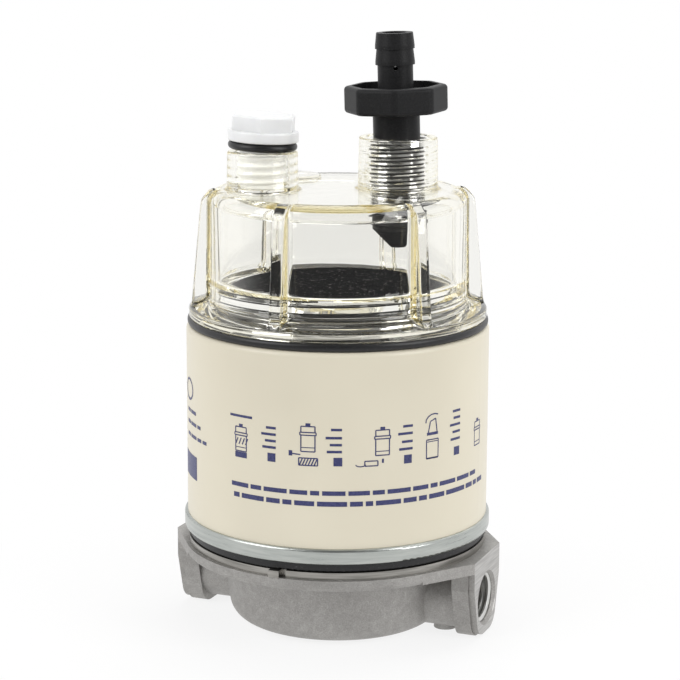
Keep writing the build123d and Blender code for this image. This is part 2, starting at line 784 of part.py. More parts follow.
# Sensor port plug: hexagon head, flange, and a hollow threaded body
with BuildPart() as sensor_plug:
    flange_foot = 2 * plug_seal_section + seat_gap
    with BuildSketch(plug_plane.offset(flange_foot)):
        Circle(plug_flange_radius)
    extrude(amount=plug_flange_height)
    fillet(sensor_plug.edges(), plug_edge)
    with BuildSketch(plug_plane.offset(flange_foot + plug_flange_height)):
        RegularPolygon(plug_hex_flats / 2, 6, major_radius=False, rotation=plug_hex_turn)
    extrude(amount=plug_hex_height)
    chamfer(sensor_plug.faces().sort_by(plug_axis)[-1].edges(), plug_edge)
    with BuildSketch(plug_plane.offset(flange_foot)):
        Circle(plug_body_radius)
    extrude(amount=-plug_body_length)
    chamfer(sensor_plug.faces().sort_by(plug_axis)[0].edges(), plug_edge)
    with BuildSketch(plug_plane.offset(flange_foot - plug_body_length)):
        Circle(plug_bore_radius)
    extrude(amount=plug_bore_depth, mode=Mode.SUBTRACT)
sensor_plug.part.label = "sensor_plug"
export_step(sensor_plug.part, "parts/sensor_plug.step")

# Seal ring under the plug's flange
with BuildPart() as plug_seal:
    with BuildSketch(Plane(plug_plane.origin, plug_plane.x_dir, -plug_plane.y_dir)):
        with Locations((plug_seal_radius, plug_seal_section)):
            Circle(plug_seal_section)
    revolve(axis=plug_axis)
plug_seal.part.label = "plug_seal"
export_step(plug_seal.part, "parts/plug_seal.step")
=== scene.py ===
"""Looks of a spin-on fuel filter and water separator that stands upside down on its cast head.

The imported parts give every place. Lengths here are in millimetres, and a mesh is scaled to metres as it
is made. Angles are in degrees about the filter's axis, from the +X port.
"""

import json
from math import asin, ceil, cos, degrees, floor, hypot, pi, radians, sin, sqrt, tan, tau

import bmesh
import bpy
from mathutils import Matrix, Vector


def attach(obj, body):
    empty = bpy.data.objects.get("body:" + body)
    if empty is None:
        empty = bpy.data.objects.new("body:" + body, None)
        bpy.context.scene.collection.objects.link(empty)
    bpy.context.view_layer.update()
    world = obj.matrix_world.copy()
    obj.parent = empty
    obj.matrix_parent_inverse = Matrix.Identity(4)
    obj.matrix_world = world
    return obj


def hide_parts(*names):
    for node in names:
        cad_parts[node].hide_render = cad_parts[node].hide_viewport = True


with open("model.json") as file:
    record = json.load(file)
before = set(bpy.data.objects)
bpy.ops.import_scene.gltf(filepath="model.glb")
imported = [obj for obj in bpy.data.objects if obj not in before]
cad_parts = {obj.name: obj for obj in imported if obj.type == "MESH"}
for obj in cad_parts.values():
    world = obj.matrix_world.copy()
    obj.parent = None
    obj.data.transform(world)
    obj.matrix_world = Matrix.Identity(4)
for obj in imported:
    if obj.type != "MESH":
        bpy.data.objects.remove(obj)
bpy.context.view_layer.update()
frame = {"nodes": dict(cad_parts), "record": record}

MM = 0.001

# Camera, fitted to the ellipses of the can and its rings
CAMERA_ANGLE = -68.0         # where it stands, seen from the filter's axis
CAMERA_DISTANCE = 560.0
CAMERA_HEIGHT = 190.3
CAMERA_PITCH = 0.208         # radians, downwards
CAMERA_YAW = 0.001
CAMERA_ROLL = 0.0045
FOCAL_PIXELS = 2267.0
PICTURE_SIDE = 680
SENSOR = 36.0

# Sizes that the finishes and the finer forms share with the parts
RIM_FOOT, RIM_TOP = 20.9, 22.7
PORT_FACE = 40.7
PORT_HEIGHT = 9.3
PORT_RADIUS = 6.2
CAN_RADIUS, CAN_FOOT = 38.1, 27.7
NECK_RADIUS, NECK_TOP = 29.6, 85.1
BOWL_FOOT, BOWL_TOP = 78.97, 110.8
BOWL_STEP_FOOT, BOWL_STEP_TOP = 88.5, 89.5
BOWL_CEILING = 108.2
BOWL_TURN = 27.5             # direction of the drain boss, the sensor boss is opposite
DRAIN_OFFSET, DRAIN_BOSS_TOP = 14.9, 123.6
SENSOR_OFFSET, SENSOR_BOSS_TOP = 18.9, 120.3
PLUG_LEVEL = 120.64          # where the plug's leaning frame stands
DRAIN_TILT, PLUG_TILT = 1.8, 2.5
PLUG_THREAD_RADIUS = 5.6
DRAIN_THREAD_RADIUS = 6.6

BOWL_PITCH = 3.0
DRAIN_PITCH = 2.0
PLUG_PITCH = 2.0
PORT_PITCH = 1.41

ROUND_SEGMENTS = 144         # steps round a boss, the valve or the plug
WIDE_SEGMENTS = 288          # round the bowl or the neck
PORT_SEGMENTS = 96
CREASE_ANGLE = 32            # an edge sharper than this stays sharp


# Points and meshes


def at(radius, angle, height=0.0):
    """A point at this radius and angle about the filter's axis."""
    return Vector((radius * cos(radians(angle)), radius * sin(radians(angle)), height))


def rounded(*corners):
    """A profile of (radius, height) points through (radius, height, rounding) corners."""
    path = []
    for number, (radius, height, size) in enumerate(corners):
        here = Vector((radius, height))
        if not size or number in (0, len(corners) - 1):
            path.append((radius, height))
            continue
        back = (Vector(corners[number - 1][:2]) - here).normalized()
        on = (Vector(corners[number + 1][:2]) - here).normalized()
        half = back.angle(on) / 2
        centre = here + (back + on).normalized() * size / sin(half)
        spoke = here + back * size / tan(half) - centre
        turn = (pi - 2 * half) * (1 if spoke.x * on.y - spoke.y * on.x > 0 else -1)
        steps = max(2, ceil(abs(degrees(turn)) / 6))
        for step in range(steps + 1):
            a = turn * step / steps
            path.append((
                centre.x + spoke.x * cos(a) - spoke.y * sin(a),
                centre.y + spoke.x * sin(a) + spoke.y * cos(a),
            ))
    return path


def spread(low, high, step):
    """Values from low to high, both included, about step apart."""
    count = max(1, round(abs(high - low) / step))
    return [low + (high - low) * k / count for k in range(count + 1)]


def leaning(offset, angle, height, tilt):
    """The frame of a piece that leans by tilt along the line through the two bosses."""
    lean = at(sin(radians(tilt)), BOWL_TURN, cos(radians(tilt)))
    across = at(1, BOWL_TURN + 90)
    along_bosses = across.cross(lean)
    place = Matrix((along_bosses, lean.cross(along_bosses), lean)).transposed().to_4x4()
    place.translation = at(offset, angle, height)
    return place


def upright(offset, angle, height):
    """The frame of a boss, turned as the pieces that screw into it."""
    return leaning(offset, angle, height, 0.0)


class Screw:
    """A right-hand thread with straight flanks between flat crests and roots, on the surface of a cylinder.

    It fades out to the cylinder at its top, or is countersunk to its full depth there.
    """

    def __init__(self, radius, depth, pitch, flat, foot, top, foot_fade=0.0, top_fade=0.5, countersunk=False):
        self.radius, self.depth, self.pitch, self.flat = radius, depth, pitch, flat
        self.foot, self.top = foot, top
        self.foot_fade, self.top_fade = foot_fade, top_fade
        self.countersunk = countersunk

    def reach(self, height, angle):
        """Radius at a height and an angle in radians."""
        phase = (height / self.pitch - angle / tau) % 1.0
        half = self.pitch / 2 - self.flat
        share = ((0.5 - abs(phase - 0.5)) * self.pitch - self.flat / 2) / half
        share = max(0.0, min(1.0, share))
        if self.foot_fade:
            share *= max(0.0, min(1.0, (height - self.foot) / self.foot_fade))
        if self.top_fade:
            left = max(0.0, min(1.0, (self.top - height) / self.top_fade))
            share = max(share, 1 - left) if self.countersunk else share * left
        return self.radius + self.depth * share

    def stations(self):
        """Heights at angle 0 where the thread's section bends, from below the foot to above the top."""
        edge = self.flat / 2
        bends = (edge, self.pitch / 2 - edge, self.pitch / 2 + edge, self.pitch - edge)
        first, last = floor(self.foot / self.pitch) - 1, ceil(self.top / self.pitch)
        return [turn * self.pitch + bend for turn in range(first, last + 1) for bend in bends]


class Skin:
    """Points and faces of one piece, gathered in millimetres and welded where they meet."""

    def __init__(self):
        self.shape = bmesh.new()

    def rows(self, rows, closed=True):
        """Faces between rows of points; closed joins the two ends of each row."""
        made = [[self.shape.verts.new(point) for point in row] for row in rows]
        for low, high in zip(made, made[1:]):
            count = len(low) if closed else len(low) - 1
            for i in range(count):
                j = (i + 1) % len(low)
                self.shape.faces.new((low[i], low[j], high[j], high[i]))

    def turned(self, profile, segments, place=Matrix()):
        """A turned surface about the z axis of place, through (radius, height) points."""
        angles = [tau * k / segments for k in range(segments)]
        self.rows([
            [place @ Vector((radius * cos(angle), radius * sin(angle), height)) for angle in angles]
            for radius, height in profile
        ])

    def screwed(self, screw, segments, place=Matrix()):
        """A threaded wall whose rows climb with the thread."""
        rows = []
        for station in screw.stations():
            row = []
            for step in range(segments + 1):
                angle = tau * step / segments
                height = min(max(station + screw.pitch * angle / tau, screw.foot), screw.top)
                reach = screw.reach(height, angle)
                row.append(place @ Vector((reach * cos(angle), reach * sin(angle), height)))
            rows.append(row)
        self.rows(rows, closed=False)

    def weld(self, distance=1e-4):
        bmesh.ops.remove_doubles(self.shape, verts=self.shape.verts, dist=distance)
        bmesh.ops.dissolve_degenerate(self.shape, edges=self.shape.edges, dist=distance)

    def cover(self, height):
        """Closes the open edges at this height with one flat face, holes left open."""
        rim = [
            edge for edge in self.shape.edges
            if edge.is_boundary and all(abs(v.co.z - height) < 1e-3 for v in edge.verts)
        ]
        bmesh.ops.triangle_fill(self.shape, use_beauty=True, edges=rim, normal=(0, 0, 1))

    def piece(self, name, material, body, slot, smooth=True, sharp=None):
        """Makes the object, in metres, riding on its body."""
        bmesh.ops.recalc_face_normals(self.shape, faces=self.shape.faces)
        for face in self.shape.faces:
            face.smooth = smooth
        bmesh.ops.scale(self.shape, vec=(MM, MM, MM), verts=self.shape.verts)
        mesh = bpy.data.meshes.new(name)
        self.shape.to_mesh(mesh)
        self.shape.free()
        made = bpy.data.objects.new(name, mesh)
        bpy.context.scene.collection.objects.link(made)
        mesh.materials.append(material)
        if sharp:
            mesh.set_sharp_from_angle(angle=radians(sharp))
        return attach(made, body)


def even_normals(piece):
    """Normals that follow the larger faces, so that flats stay flat up to their rounded edges."""
    weighting = piece.modifiers.new("even normals", "WEIGHTED_NORMAL")
    weighting.mode = "FACE_AREA"
    weighting.weight = 80
    weighting.keep_sharp = True


# Materials

# A Mix node has several sockets of one name, so those of its colours go by number
MIX_FIRST, MIX_SECOND, MIX_RESULT = 6, 7, 2


class Wire:
    """An output of a node. Arithmetic on it adds Math nodes."""

    def __init__(self, socket):
        self.socket = socket

    def math(self, operation, *others):
        tree = self.socket.id_data
        return add_node(tree, "ShaderNodeMath", {"operation": operation}, dict(enumerate((self, *others))))

    def __add__(self, other):
        return self.math("ADD", other)

    __radd__ = __add__

    def __mul__(self, other):
        return self.math("MULTIPLY", other)

    __rmul__ = __mul__

    def __sub__(self, other):
        return self.math("SUBTRACT", other)

    def __rsub__(self, other):
        return (self * -1) + other

    def __gt__(self, other):
        return self.math("GREATER_THAN", other)

    def __lt__(self, other):
        return self.math("LESS_THAN", other)

    def maximum(self, other):
        return self.math("MAXIMUM", other)


def add_node(tree, kind, settings=None, sockets=None, output=0):
    """Adds a node: first its settings, then the values or links of its sockets. Returns one output."""
    node = tree.nodes.new(kind)
    for name, value in (settings or {}).items():
        if name == "stops":
            ramp = node.color_ramp
            while len(ramp.elements) < len(value):
                ramp.elements.new(0.5)
            for element, (position, colour) in zip(ramp.elements, value):
                element.position = position
                element.color = (*colour, 1.0)
        else:
            setattr(node, name, value)
    for name, value in (sockets or {}).items():
        if isinstance(value, Wire):
            tree.links.new(value.socket, node.inputs[name])
        else:
            node.inputs[name].default_value = value
    return Wire(node.outputs[output])


class Finish:
    """A material on one Principled shader."""

    def __init__(self, name, colour, roughness, metallic=0.0, **more):
        self.material = bpy.data.materials.new(name)
        self.material.use_nodes = True
        self.tree = self.material.node_tree
        self.surface = self.tree.nodes["Principled BSDF"]
        self.output = self.tree.nodes["Material Output"]
        self.set(**{"Base Color": (*colour, 1.0), "Roughness": roughness, "Metallic": metallic}, **more)

    def set(self, **sockets):
        for name, value in sockets.items():
            if isinstance(value, Wire):
                self.tree.links.new(value.socket, self.surface.inputs[name])
            else:
                self.surface.inputs[name].default_value = value

    def add(self, kind, settings=None, sockets=None, output=0):
        return add_node(self.tree, kind, settings, sockets, output)

    def place(self):
        """The surface's own coordinates, in metres."""
        return self.add("ShaderNodeTexCoord", output="Object")

    def axes(self):
        """The surface's x, y and z as three values, in metres."""
        split = self.add("ShaderNodeSeparateXYZ", None, {"Vector": self.place()})
        return [Wire(output) for output in split.socket.node.outputs]

    def noise(self, size, detail=2.0, roughness=0.5, stretch=(1, 1, 1)):
        """Noise from 0 to 1 whose lumps are about size millimetres across."""
        spot = self.add("ShaderNodeVectorMath", {"operation": "MULTIPLY"}, {0: self.place(), 1: stretch})
        return self.add("ShaderNodeTexNoise", None, {
            "Vector": spot, "Scale": 1 / (size * MM), "Detail": detail, "Roughness": roughness,
        })

    def shades(self, factor, *stops):
        """A colour that runs through (position, colour) stops."""
        return self.add("ShaderNodeValToRGB", {"stops": stops}, {"Fac": factor})

    def blend(self, factor, first, second):
        """One colour into another by factor."""
        first, second = [
            colour if isinstance(colour, Wire) else (*colour, 1.0) for colour in (first, second)
        ]
        return self.add("ShaderNodeMix", {"data_type": "RGBA"}, {
            0: factor, MIX_FIRST: first, MIX_SECOND: second,
        }, MIX_RESULT)

    def bump(self, height, depth):
        """Relief whose full swing is depth millimetres."""
        self.set(Normal=self.add("ShaderNodeBump", None, {"Height": height, "Distance": depth * MM}))


def band(value, low, high):
    """1 where value, in metres, lies between two lengths in millimetres."""
    return (value > low * MM) * (value < high * MM)


def cast_aluminium():
    """Blasted casting, turned bright on the rim and machined at the port faces."""
    finish = Finish("cast_aluminium", (0.4, 0.39, 0.38), 0.6, 1.0)
    x, y, z = finish.axes()
    speckle = finish.noise(0.34, 3.0, 0.65)
    blotches = finish.noise(1.8, 3.0, 0.6)
    cloud = finish.noise(9.0, 3.0, 0.6)
    cast = finish.shades(
        speckle * 0.5 + blotches * 0.25 + cloud * 0.25,
        (0.3, (0.275, 0.266, 0.255)),
        (0.52, (0.385, 0.375, 0.361)),
        (0.74, (0.555, 0.545, 0.528)),
    )
    rim = band(z, RIM_FOOT + 0.05, RIM_TOP + 1)
    face = x.math("ABSOLUTE") > (PORT_FACE - 0.05) * MM
    lines = finish.noise(0.5, 2.0, 0.5, (0.05, 0.05, 1.0))
    turned = finish.shades(lines, (0.35, (0.24, 0.233, 0.215)), (0.65, (0.375, 0.362, 0.338)))
    milled = finish.shades(lines, (0.35, (0.36, 0.352, 0.34)), (0.65, (0.5, 0.49, 0.475)))
    finish.set(**{"Base Color": finish.blend(face, finish.blend(rim, cast, turned), milled)})
    machined = rim.maximum(face)
    finish.set(Roughness=0.62 - machined * 0.3)
    finish.bump((speckle + blotches) * (1 - machined) + lines * machined * 0.15, 0.1)
    return finish.material


def machined_aluminium():
    """Freshly cut thread in the ports."""
    finish = Finish("machined_aluminium", (0.66, 0.66, 0.64), 0.28, 1.0)
    finish.bump(finish.noise(0.25, 2.0), 0.015)
    return finish.material


def zinc_steel():
    """Bluish plate with faint rolling marks round the ring."""
    finish = Finish("zinc_steel", (0.49, 0.515, 0.505), 0.3, 1.0)
    marks = finish.noise(3.0, 3.0, 0.6, (0.3, 0.3, 4.0))
    finish.set(**{"Base Color": finish.shades(
        marks, (0.3, (0.38, 0.4, 0.385)), (0.5, (0.45, 0.472, 0.45)), (0.7, (0.52, 0.54, 0.515)),
    )})
    finish.set(Roughness=marks * 0.2 + 0.2)
    finish.bump(finish.noise(0.8, 2.0, 0.5, (0.2, 0.2, 3.0)), 0.01)
    return finish.material


def cream_paint():
    finish = Finish("cream_paint", (0.66, 0.61, 0.49), 0.36)
    peel = finish.noise(0.9, 2.0)
    cloud = finish.noise(25.0, 2.0)
    finish.set(**{"Base Color": finish.shades(
        cloud, (0.3, (0.685, 0.635, 0.508)), (0.7, (0.72, 0.67, 0.54)),
    )})
    finish.set(Roughness=cloud * 0.12 + 0.3)
    finish.bump(peel, 0.012)
    return finish.material


def navy_ink():
    finish = Finish("navy_ink", (0.022, 0.027, 0.11), 0.4)
    spots = finish.noise(0.5, 3.0, 0.6)
    finish.set(**{"Base Color": finish.shades(
        spots, (0.35, (0.02, 0.025, 0.105)), (0.7, (0.055, 0.06, 0.17)),
    )})
    return finish.material


def rubber():
    finish = Finish("black_rubber", (0.008, 0.008, 0.009), 0.38, **{"Specular IOR Level": 0.45})
    dust = finish.noise(0.5, 4.0, 0.75)
    finish.set(**{"Base Color": finish.shades(
        dust, (0.0, (0.006, 0.006, 0.007)), (0.6, (0.009, 0.009, 0.01)), (0.76, (0.09, 0.09, 0.092)),
    )})
    finish.bump(dust, 0.02)
    return finish.material


def black_coat(name, shine, scuff_and_sheen):
    """Black coating of the end disc or the neck, with scuffs and pale specks. On the end disc, which has no
    specular, the pale marks are partly real scuffs and partly a painted reflection of its faint sheen.
    """
    finish = Finish(name, (0.01, 0.01, 0.01), 0.3, **{"Specular IOR Level": shine})
    specks = finish.noise(0.8, 2.0, 0.6)
    scratches = finish.noise(1.6, 4.0, 0.8, (0.25, 1.6, 1.0))
    # pale scuffs and specks; on the end disc they also stand in for its sheen as a painted reflection
    marks = (specks > 0.68).maximum(scratches > 0.66)
    finish.set(**{"Base Color": finish.blend(marks * scuff_and_sheen, (0.005, 0.005, 0.006), (0.32, 0.31, 0.3))})
    finish.set(Roughness=scratches * 0.3 + 0.35)
    return finish.material


def black_plastic():
    finish = Finish("black_plastic", (0.014, 0.014, 0.015), 0.42, **{"Specular IOR Level": 0.12})
    grain = finish.noise(0.35, 3.0, 0.6)
    finish.set(**{"Base Color": finish.shades(
        grain, (0.3, (0.012, 0.012, 0.0125)), (0.75, (0.023, 0.023, 0.024)),
    )})
    finish.set(Roughness=grain * 0.2 + 0.32)
    finish.bump(grain, 0.012)
    return finish.material


def white_plastic():
    finish = Finish(
        "white_plastic", (0.83, 0.84, 0.85), 0.34,
        **{"Subsurface Weight": 0.6, "Subsurface Radius": (1.5, 1.5, 1.6), "Subsurface Scale": 0.001},
    )
    milk = finish.noise(4.0, 2.0)
    finish.set(**{"Base Color": finish.shades(
        milk, (0.3, (0.79, 0.795, 0.8)), (0.7, (0.84, 0.845, 0.845)),
    )})
    finish.bump(finish.noise(1.2, 2.0), 0.01)
    return finish.material


def clear_plastic():
    """Clear moulding, faintly yellow along its length; lamps shine through it."""
    finish = Finish("clear_plastic", (0.985, 0.985, 0.975), 0.0, **{"Transmission Weight": 1.0, "IOR": 1.58})
    ripple = finish.noise(6.0, 1.0)
    finish.bump(ripple, 0.008)
    shadow_ray = finish.add("ShaderNodeLightPath", output="Is Shadow Ray")
    clear = finish.add("ShaderNodeBsdfTransparent", None, {"Color": (0.93, 0.92, 0.88, 1.0)})
    mixed = finish.add(
        "ShaderNodeMixShader", None, {0: shadow_ray, 1: Wire(finish.surface.outputs[0]), 2: clear},
    )
    finish.tree.links.new(mixed.socket, finish.output.inputs["Surface"])
    tint = finish.add(
        "ShaderNodeVolumeAbsorption", None, {"Color": (0.83, 0.72, 0.2, 1.0), "Density": 14.0},
    )
    finish.tree.links.new(tint.socket, finish.output.inputs["Volume"])
    return finish.material


def filter_paper():
    finish = Finish("filter_paper", (0.55, 0.42, 0.22), 0.85)
    fibre = finish.noise(0.6, 5.0, 0.7)
    finish.set(**{"Base Color": finish.shades(
        fibre, (0.3, (0.45, 0.34, 0.17)), (0.7, (0.62, 0.5, 0.28)),
    )})
    finish.bump(fibre, 0.06)
    return finish.material


def potting():
    finish = Finish("potting", (0.09, 0.08, 0.07), 0.5)
    lumps = finish.noise(1.5, 2.0)
    finish.set(**{"Base Color": finish.shades(
        lumps, (0.3, (0.07, 0.06, 0.05)), (0.7, (0.12, 0.105, 0.09)),
    )})
    finish.bump(lumps, 0.05)
    return finish.material


FINISHES = {
    "cast_aluminium": cast_aluminium(),
    "zinc_steel": zinc_steel(),
    "black_rubber": rubber(),
    "cream_paint": cream_paint(),
    # the end disc has no specular, so its faint sheen is a painted reflection carried by the pale marks
    "black_steel": black_coat("black_coat", 0.0, 0.6),
    "filter_paper": filter_paper(),
    "potting": potting(),
    "clear_plastic": clear_plastic(),
    "black_plastic": black_plastic(),
    "white_plastic": white_plastic(),
}
NECK_COAT = black_coat("neck_coat", 0.4, 0.2)


def dress_parts():
    """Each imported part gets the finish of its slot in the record."""
    for part in frame["record"]["subparts"]:
        mesh = frame["nodes"][part["node"]].data
        mesh.materials.clear()
        mesh.materials.append(NECK_COAT if part["node"] == "bowl_neck" else FINISHES[part["material_slot"]])


# Bowl

RIB_COUNT = 6
RIB_THICKNESS = 3.3
RIB_FOOT = (36.9, 80.3)
RIB_SIDE = (
    (*RIB_FOOT, 0),
    (34.3, 108.1, 3.0),
    (32.0, BOWL_TOP, 1.5),
    (30.5, BOWL_TOP, 0),
)
RIB_ROOT_ROUND = 1.1
RIB_EDGE_ROUND = 0.6
WALL_RADIUS = 32.0
WALL_STEPS = 32              # along the wall between two ribs
LEVEL_STEP = 2.5             # most height between two levels of the outside
EDGE_ROUND = 3.0
BODY_PROFILE = (
    (37.1, BOWL_FOOT, 0),
    (37.4, BOWL_FOOT + 0.3, 0.2),
    (37.4, 81.3, 0.7),
    (32.3, 83.2, 1.6),
    (WALL_RADIUS, BOWL_TOP, EDGE_ROUND),
    (29.0, BOWL_TOP, 0),
)
INSIDE_RADIUS = 29.9
INSIDE_TOP_RADIUS = 29.6
CEILING_ROUND = 1.0
DRAIN_BOSS_RADIUS = 10.0
SENSOR_BOSS_RADIUS = 8.95
BOSS_ROOT_ROUND = 1.0
MOUTH_CHAMFER = 0.3
MOUTH_DEPTH = 0.7            # from a boss's top down to its thread
PAD_PLACE = (22.2, BOWL_TURN + 114)
PAD_TOP = BOWL_TOP + 0.9
PAD_PROFILE = (
    (6.7, BOWL_TOP, 0),
    (6.4, BOWL_TOP, 0.3),
    (6.4, PAD_TOP, 0.3),
    (5.9, PAD_TOP, 0),
)
PAD_SEGMENTS = 60
BOWL_SCREW = Screw(INSIDE_RADIUS, 1.38, BOWL_PITCH, 0.35, BOWL_FOOT, BOWL_STEP_FOOT)
# The bores' heights are counted from BOWL_TOP and from PLUG_LEVEL, where their frames stand
DRAIN_BORE = Screw(
    7.0, 0.6, DRAIN_PITCH, 0.5, -1.6, DRAIN_BOSS_TOP - BOWL_TOP - MOUTH_DEPTH, 0.4, countersunk=True,
)
SENSOR_BORE = Screw(
    6.4, 0.1, PLUG_PITCH, 0.6, BOWL_CEILING - PLUG_LEVEL + 1.0, SENSOR_BOSS_TOP - PLUG_LEVEL - MOUTH_DEPTH,
    0.4, countersunk=True,
)


def rib_outline(depth):
    """Half of a rib's section as (sideways, outwards) points, from the wall to the rib's outer face."""
    root = min(RIB_ROOT_ROUND, 0.55 * depth)
    edge = min(RIB_EDGE_ROUND, 0.4 * depth)
    half = RIB_THICKNESS / 2
    foot = [(half + root - root * sin(a), root - root * cos(a)) for a in spread(0, pi / 2, pi / 20)]
    head = [(half - edge + edge * cos(a), depth - edge + edge * sin(a)) for a in spread(0, pi / 2, pi / 16)]
    return foot + head


def bowl_level(body, rib):
    """One level of the bowl's outside: round each rib, and along the wall between two ribs."""
    radius, height = body
    depth = hypot(rib[0] - radius, rib[1] - height)
    half = rib_outline(depth)
    left, right = [(-side, out) for side, out in half], half[::-1]
    outline = left + [(0.0, depth)] + right
    margin = degrees(asin(half[0][0] / radius))
    points = []
    for number in range(RIB_COUNT):
        angle = BOWL_TURN + 360 / RIB_COUNT * number
        outwards, sideways = at(1, angle), at(1, angle + 90)
        for side, out in outline:
            share = out / depth if depth > 1e-6 else 0.0
            reach = (1 - share) * sqrt(radius * radius - side * side) + share * rib[0]
            point = outwards * reach + sideways * side
            point.z = (1 - share) * height + share * rib[1]
            points.append(point)
        gap = 360 / RIB_COUNT - 2 * margin
        points += [at(radius, angle + margin + gap * k / WALL_STEPS, height) for k in range(1, WALL_STEPS)]
    return points


def along(path, way):
    """The point at this distance along a path of (radius, height) points."""
    for start, end in zip(path, path[1:]):
        length = hypot(end[0] - start[0], end[1] - start[1])
        if way <= length:
            break
        way -= length
    share = min(1.0, way / length)
    return (start[0] + (end[0] - start[0]) * share, start[1] + (end[1] - start[1]) * share)


def path_length(path):
    return sum(hypot(b[0] - a[0], b[1] - a[1]) for a, b in zip(path, path[1:]))


def bowl_outside(skin):
    """Levels up to the top edge's rounding lie flat; from there the rib's side runs on to its own end."""
    body = rounded(*BODY_PROFILE)
    filled = [body[0]]
    for low, high in zip(body, body[1:]):
        steps = max(1, ceil((high[1] - low[1]) / LEVEL_STEP))
        filled += [(low[0] + (high[0] - low[0]) * k / steps, low[1] + (high[1] - low[1]) * k / steps)
                   for k in range(1, steps + 1)]
    rib_side = rounded(*RIB_SIDE)
    edge_foot = BOWL_TOP - EDGE_ROUND
    slope = (rib_side[1][0] - RIB_FOOT[0]) / (rib_side[1][1] - RIB_FOOT[1])
    side_radius = {point: RIB_FOOT[0] + slope * (point[1] - RIB_FOOT[1]) for point in filled}
    crown = [point for point in filled if point[1] > edge_foot + 1e-3]
    crown_foot = (RIB_FOOT[0] + slope * (edge_foot - RIB_FOOT[1]), edge_foot)
    crown_side = [crown_foot] + [point for point in rib_side if point[1] > edge_foot + 1e-3]
    rows = []
    for point in filled:
        if point in crown:
            way = (crown.index(point) + 1) / len(crown) * path_length(crown_side)
            rib = along(crown_side, way)
        else:
            rib = (max(point[0], side_radius[point]), point[1])
        rows.append(bowl_level(point, rib))
    skin.rows(rows)


def boss(skin, place, radius, foot, top, ceiling, screw):
    """A boss with a rounded root, and its threaded bore down to the bowl's ceiling."""
    skin.turned(rounded(
        (radius + BOSS_ROOT_ROUND, foot, 0),
        (radius, foot, BOSS_ROOT_ROUND),
        (radius - 0.2, top, 0.5),
        (radius - 0.8, top, 0),
    ), ROUND_SEGMENTS, place)
    mouth = screw.radius + screw.depth
    skin.turned([
        (mouth + MOUTH_CHAMFER, top),
        (mouth, top - MOUTH_CHAMFER),
        (mouth, screw.top),
    ], ROUND_SEGMENTS, place)
    skin.screwed(screw, ROUND_SEGMENTS, place)
    skin.turned([(screw.radius, screw.foot), (screw.radius, ceiling)], ROUND_SEGMENTS, place)


def clear_bowl():
    """The bowl as one closed skin: ribbed outside, threaded inside, two bosses and a low blank pad."""
    skin = Skin()
    bowl_outside(skin)
    boss(
        skin, upright(DRAIN_OFFSET, BOWL_TURN, BOWL_TOP), DRAIN_BOSS_RADIUS,
        0.0, DRAIN_BOSS_TOP - BOWL_TOP, BOWL_CEILING - BOWL_TOP, DRAIN_BORE,
    )
    boss(
        skin, upright(SENSOR_OFFSET, BOWL_TURN + 180, PLUG_LEVEL), SENSOR_BOSS_RADIUS,
        BOWL_TOP - PLUG_LEVEL, SENSOR_BOSS_TOP - PLUG_LEVEL, BOWL_CEILING - PLUG_LEVEL, SENSOR_BORE,
    )
    skin.turned(rounded(*PAD_PROFILE), PAD_SEGMENTS, Matrix.Translation(at(*PAD_PLACE)))
    skin.screwed(BOWL_SCREW, WIDE_SEGMENTS)
    skin.turned([(INSIDE_RADIUS, BOWL_STEP_FOOT)] + rounded(
        (INSIDE_TOP_RADIUS, BOWL_STEP_TOP, 0),
        (INSIDE_TOP_RADIUS, BOWL_CEILING, CEILING_ROUND),
        (INSIDE_TOP_RADIUS - CEILING_ROUND - 0.4, BOWL_CEILING, 0),
    ), WIDE_SEGMENTS)
    skin.weld()
    for height in (BOWL_FOOT, BOWL_TOP, BOWL_CEILING, DRAIN_BOSS_TOP, SENSOR_BOSS_TOP, PAD_TOP):
        skin.cover(height)
    bowl = skin.piece("clear_bowl", FINISHES["clear_plastic"], "bowl", "clear_plastic", sharp=CREASE_ANGLE)
    even_normals(bowl)
    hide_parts("bowl")
    return bowl


# Threads on the solid parts

SINK = 0.05                  # how far a thread's roots lie inside the solid's surface
OUTER_SLEEVE, PORT_SLEEVE = -0.45, 0.35    # from the roots to the sleeve's back
NECK_SCREW = Screw(NECK_RADIUS - SINK, 1.15, BOWL_PITCH, 0.35, BOWL_FOOT + 1.3, NECK_TOP - 0.2, 0.5)
DRAIN_SCREW = Screw(DRAIN_THREAD_RADIUS - SINK, 0.4, DRAIN_PITCH, 0.25, -3.4, 12.0, 0.5)
PLUG_SCREW = Screw(PLUG_THREAD_RADIUS - SINK, 0.65, PLUG_PITCH, 0.3, -9.0, -0.2, 0.5)
PORT_SCREW = Screw(PORT_RADIUS + SINK, -0.75, PORT_PITCH, 0.2, PORT_FACE - 11.8, PORT_FACE - 0.9, 0.4, 0.4)


def sleeve(name, screw, thickness, material, body, slot, place=Matrix(), segments=ROUND_SEGMENTS):
    """A thread as a closed sleeve let into a plain wall; thickness below 0 runs inwards from its roots."""
    skin = Skin()
    skin.screwed(screw, segments, place)
    back = screw.radius + thickness
    skin.turned([
        (screw.radius, screw.top),
        (back, screw.top),
        (back, screw.foot),
        (screw.radius, screw.foot),
    ], segments, place)
    skin.weld()
    return skin.piece(name, material, body, slot, sharp=CREASE_ANGLE)


